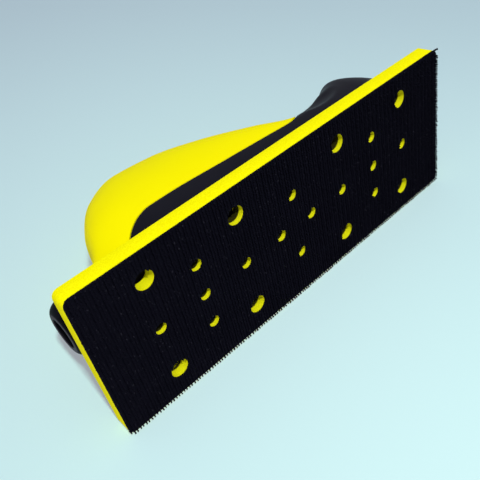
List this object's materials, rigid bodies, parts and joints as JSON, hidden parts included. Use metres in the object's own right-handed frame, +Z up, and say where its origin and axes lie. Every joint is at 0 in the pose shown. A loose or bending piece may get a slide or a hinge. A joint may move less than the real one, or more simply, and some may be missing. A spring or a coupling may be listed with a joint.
{
  "type": "vacuum sanding block",
  "caption": "Long hand sanding block with a perforated hook-faced foam pad, a hollow housing with a raised nose, a palm grip and a swivelling hose connector.",
  "frame": {"origin": "centre of the pad's flat working face, where the abrasive goes", "axes": "+X along the block towards the nose, the hose leaves towards -X, +Z up from the working face through the grip, +Y to the left of someone pushing the block forwards"},
  "size_m": [0.198, 0.07, 0.0831],
  "materials": {
    "hook_black": "matte woven hook tape",
    "foam_yellow": "matte open foam",
    "plate_black": "matte",
    "screw_steel": "zinc plated",
    "rubber_black": "matte",
    "shell_grey": "satin moulded",
    "grip_yellow": "smooth matte soft grip",
    "acetal_white": "matte",
    "port_grey": "satin moulded"
  },
  "bodies": {
    "block": {"hook_face": "hook_black", "foam_pad": "foam_yellow", "pad_plate": "plate_black", "plate_screw_1": "screw_steel", "plate_screw_2": "screw_steel", "plate_screw_3": "screw_steel", "plate_screw_4": "screw_steel", "plate_screw_5": "screw_steel", "plate_screw_6": "screw_steel", "plate_screw_7": "screw_steel", "plate_screw_8": "screw_steel", "plate_seal": "rubber_black", "body_shell": "shell_grey", "grip_cover": "grip_yellow", "port_bush": "acetal_white", "thrust_washer": "port_grey"},
    "connector": {"hose_connector": "port_grey", "o_ring": "rubber_black", "retaining_clip": "screw_steel"},
    "regulator": {"suction_ring": "port_grey"}
  },
  "joints": [
    {"name": "connector_swivel", "type": "hinge", "parent": "block", "child": "connector", "pos_m": [-0.083, 0, 0.03], "axis": [1, 0, 0], "continuous": true},
    {"name": "regulator_turn", "type": "hinge", "parent": "connector", "child": "regulator", "pos_m": [-0.083, 0, 0.03], "axis": [1, 0, 0], "range_deg": [0, 62]}
  ]
}
